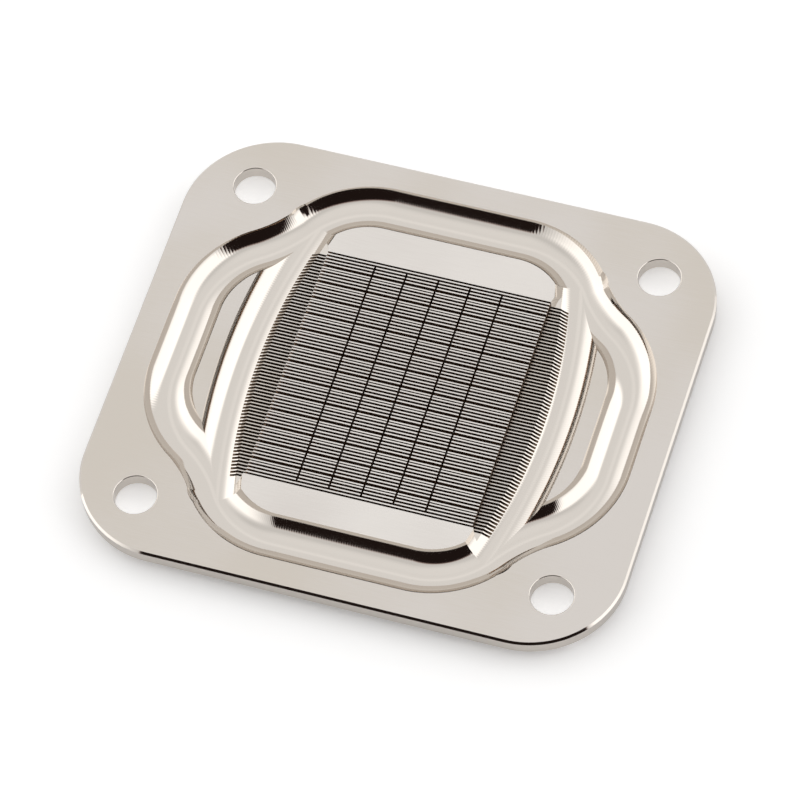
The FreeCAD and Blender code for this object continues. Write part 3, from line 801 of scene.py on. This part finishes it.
NICKEL = (0.70, 0.655, 0.607, 1)
GROUND_NICKEL = (0.635, 0.585, 0.525, 1)
COOL_NICKEL = (0.685, 0.645, 0.61, 1)
DULL_LAPPED_NICKEL = (0.705, 0.665, 0.63, 1)
LAPPED_NICKEL = (0.79, 0.755, 0.72, 1)
# painted shade in the slots: a dark brown near their top, and a near black deep down
SHADED_SLOT_NICKEL = (0.52, 0.36, 0.25, 1)
DEEP_SLOT_SHADE = (0.15, 0.105, 0.07, 1)
MICRON = 1e-6
FEED = 0.3
FEED_SLOPE = 0.03


def ground_finish(name, warm, cool):
    """Flats ground on a belt: faint straight scratches at a slant, and a soft sheen."""
    material, nodes = finish_material(name)
    place = nodes.add("ShaderNodeTexCoord", output="Object")
    grain = nodes.noise(nodes.stretched(place, math.radians(38), (300, 9000, 300)), 1.0, 3.0)
    cloud = nodes.noise(place, 45.0)
    share = nodes.smooth(cloud + 0.3 * grain, 0.45, 0.85)
    color = nodes.mix(share, warm, cool)
    plated(nodes, color, 0.27 + 0.06 * grain + 0.05 * cloud, grain, 0.6 * MICRON, metallic=0.55)
    return material


def milled_finish():
    """Ball-milled channels: a scallop for each step of the feed, and lines along the travel.

    Within a scallop the slope along the travel rises from -FEED_SLOPE to FEED_SLOPE.
    """
    material, nodes = finish_material("milled_nickel")
    cut = nodes.add("ShaderNodeUVMap", {"uv_map": "cut"})
    travel = nodes.part(cut, "X")
    lines = nodes.noise(nodes.stretched(cut, 0, (0.08, 5.0, 1.0)), 1.0, 3.0)
    waves = nodes.noise(nodes.stretched(cut, 0, (0.06, 0.9, 1.0)), 1.0, 1.0)
    slope = ((travel / FEED).math("FRACT") - 0.5) * (2 * FEED_SLOPE)
    tangent = nodes.add("ShaderNodeTangent", {"direction_type": "UV_MAP", "uv_map": "cut"})
    leaning = {"Vector": tangent, "Scale": slope}
    lean = nodes.add("ShaderNodeVectorMath", {"operation": "SCALE"}, leaning)
    normal = nodes.add("ShaderNodeNewGeometry", output="Normal")
    normal = nodes.add("ShaderNodeVectorMath", {"operation": "ADD"}, {0: normal, 1: lean})
    normal = nodes.add("ShaderNodeVectorMath", {"operation": "NORMALIZE"}, {0: normal})
    plated(nodes, NICKEL, 0.05 + 0.05 * lines, lines + 8 * waves, 1.8 * MICRON, normal)
    return material


def sawn_finish():
    """The slots: saw marks along them, and painted shade, a dark brown that darkens further with
    depth.
    """
    material, nodes = finish_material("sawn_nickel")
    place = nodes.add("ShaderNodeTexCoord", output="Object")
    marks = nodes.noise(nodes.stretched(place, 0, (400, 3000, 9000)), 1.0)
    # painted shade: the colour darkens from the upper slot walls down to the step's depth and below
    share = nodes.smooth(nodes.part(place, "Z"), (TOP - STEP_DEPTH) * MM, (TOP - 0.4) * MM)
    color = nodes.mix(share, DEEP_SLOT_SHADE, SHADED_SLOT_NICKEL)
    plated(nodes, color, 0.3 + 0.1 * marks, marks, 0.8 * MICRON)
    return material


def turned_finish():
    """The rim's side and the holes, cut by the side of an end mill."""
    material, nodes = finish_material("edge_nickel")
    place = nodes.add("ShaderNodeTexCoord", output="Object")
    marks = nodes.noise(nodes.stretched(place, 0, (200, 200, 9000)), 1.0)
    plated(nodes, NICKEL, 0.05 + 0.05 * marks, marks, 0.3 * MICRON)
    return material


# light, floor and camera


GAP_HEADING = math.radians(-67.5)
TENT_WHITE = (1, 0.995, 0.985, 1)
GAP_BROWN = (1, 0.62, 0.54, 1)
GAP_DARKNESS = 0.98
FLOOR_HALF = 1.5
FLOOR_WHITE = (0.93, 0.93, 0.935, 1)
SEEN_GLOW = 0.18
# painted light: the floor glows under the plate, and the glow is seen through the screw holes
PAINTED_GLOW_UNDER_PLATE = 0.22


def surroundings():
    """A light tent seen as a sky: two bright sides, and a dark gap on the camera's side.

    Headings are degrees round from X and elevations are degrees up from the floor.
    """
    world = bpy.data.worlds.new("tent")
    bpy.context.scene.world = world
    world.use_nodes = True
    nodes = Nodes(world.node_tree)
    way = nodes.add("ShaderNodeTexCoord")  # a sky's first output is the direction looked in
    x, y, z = (nodes.part(way, axis) for axis in "XYZ")
    level = (1.0001 - z * z).math("SQRT")

    def toward(angle, outside, inside):
        """1 within the inside angle of a heading and 0 beyond the outside angle, in degrees."""
        heading = math.radians(angle)
        cosine = (x * math.cos(heading) + y * math.sin(heading)) / level
        return nodes.smooth(cosine, math.cos(math.radians(outside)), math.cos(math.radians(inside)))

    def height(low, high):
        """0 below one elevation and 1 above another, in degrees."""
        return nodes.smooth(z, math.sin(math.radians(low)), math.sin(math.radians(high)))

    streak = toward(114, 16, 4) * height(44, 52) * (1 - height(56, 66))
    roof = 0.78 + 0.2 * height(60, 80) + 0.1 * streak
    back = 0.16 * toward(110, 95, 40) * (1 - height(62, 75))
    right = 0.8 * toward(17, 42, 32) * (1 - height(50, 60)) * (0.35 + 0.65 * height(0, 18))
    left = 0.8 * toward(-172, 62, 10) * (1 - height(36, 58))
    front = x * math.cos(GAP_HEADING) + y * math.sin(GAP_HEADING)
    slope = z / front.math("MAXIMUM", 0.01)
    gap = toward(math.degrees(GAP_HEADING), 44.5, 42.5) * (1 - nodes.smooth(slope, 1.3, 1.8))
    strength = (roof + back + right + left) * (1 - GAP_DARKNESS * gap)
    color = nodes.mix(gap, TENT_WHITE, GAP_BROWN)
    background = nodes.add("ShaderNodeBackground", {}, {"Color": color, "Strength": strength})
    path = nodes.add("ShaderNodeLightPath", output="Is Camera Ray")
    white = nodes.add("ShaderNodeBackground", {}, {"Color": (1, 1, 1, 1), "Strength": 1.0})
    mixed = nodes.add("ShaderNodeMixShader", {}, {0: path, 1: background, 2: white})
    nodes.end(mixed, "ShaderNodeOutputWorld")


def studio_floor():
    """A wide sheet of white acrylic, brighter to the camera, with a painted glow on it under the
    plate.
    """
    mesh = bpy.data.meshes.new("floor")
    corners = [(FLOOR_HALF * x, FLOOR_HALF * y, 0) for x, y in QUARTERS]
    mesh.from_pydata(corners, [], [(2, 3, 0, 1)])
    floor = bpy.data.objects.new("floor", mesh)
    bpy.context.scene.collection.objects.link(floor)
    material, nodes = finish_material("white_acrylic")
    path = nodes.add("ShaderNodeLightPath", output="Is Camera Ray")
    place = nodes.add("ShaderNodeTexCoord", output="Object")
    # painted glow: the floor's emission rises under the plate's pad, lighting the holes and the gap
    # under the rim
    painted_glow_area = 1
    for axis, pad_edge in zip("XY", HALF_PAD):
        away = nodes.part(place, axis).math("ABSOLUTE")
        painted_glow_area = nodes.smooth(away, (pad_edge + 0.8) * MM, (pad_edge - 1.2) * MM) * painted_glow_area
    camera_white_and_painted_glow = path * SEEN_GLOW + painted_glow_area * PAINTED_GLOW_UNDER_PLATE
    inputs = {
        "Base Color": FLOOR_WHITE, "Roughness": 1.0, "Specular IOR Level": 0.0,
        "Emission Color": nodes.add("ShaderNodeCombineXYZ", {}, {"X": camera_white_and_painted_glow, "Y": camera_white_and_painted_glow, "Z": camera_white_and_painted_glow}),
        "Emission Strength": 1.0,
    }
    nodes.end(nodes.add("ShaderNodeBsdfPrincipled", {}, inputs))
    mesh.materials.append(material)


IMAGE_SIZE = 800
FOCAL_PIXELS = 5357.0
CAMERA_TURN = math.radians(-23.85)
CAMERA_TILT = math.radians(-31.46)
CAMERA_ROLL = math.radians(7.48)
CAMERA_SHIFT = Vector((-0.05, 1.73, -620.95))


def place_camera():
    """The plate turns about Z, tips and rolls before a fixed camera; the camera undoes that."""
    seen = Matrix.Rotation(CAMERA_ROLL, 3, "Z") @ Matrix.Rotation(CAMERA_TILT, 3, "X")
    seen = seen @ Matrix.Rotation(CAMERA_TURN, 3, "Z")
    back = seen.transposed()
    place = (back @ -CAMERA_SHIFT + Vector((0, 0, TOP))) * MM
    camera = bpy.data.cameras.new("camera")
    camera.sensor_width = 36
    camera.lens = FOCAL_PIXELS / IMAGE_SIZE * camera.sensor_width
    camera.clip_start, camera.clip_end = 0.01, 20
    holder = bpy.data.objects.new("camera", camera)
    holder.matrix_world = Matrix.Translation(place) @ back.to_4x4()
    bpy.context.scene.collection.objects.link(holder)
    bpy.context.scene.camera = holder


plate = cold_plate()
for material in (
    ground_finish("ground_nickel", GROUND_NICKEL, COOL_NICKEL), milled_finish(), sawn_finish(),
    turned_finish(), ground_finish("lapped_nickel", DULL_LAPPED_NICKEL, LAPPED_NICKEL),
):
    plate.data.materials.append(material)
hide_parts("cold_plate")
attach(plate, "root")
surroundings()
studio_floor()
place_camera()
bpy.context.scene.view_settings.view_transform = "Standard"
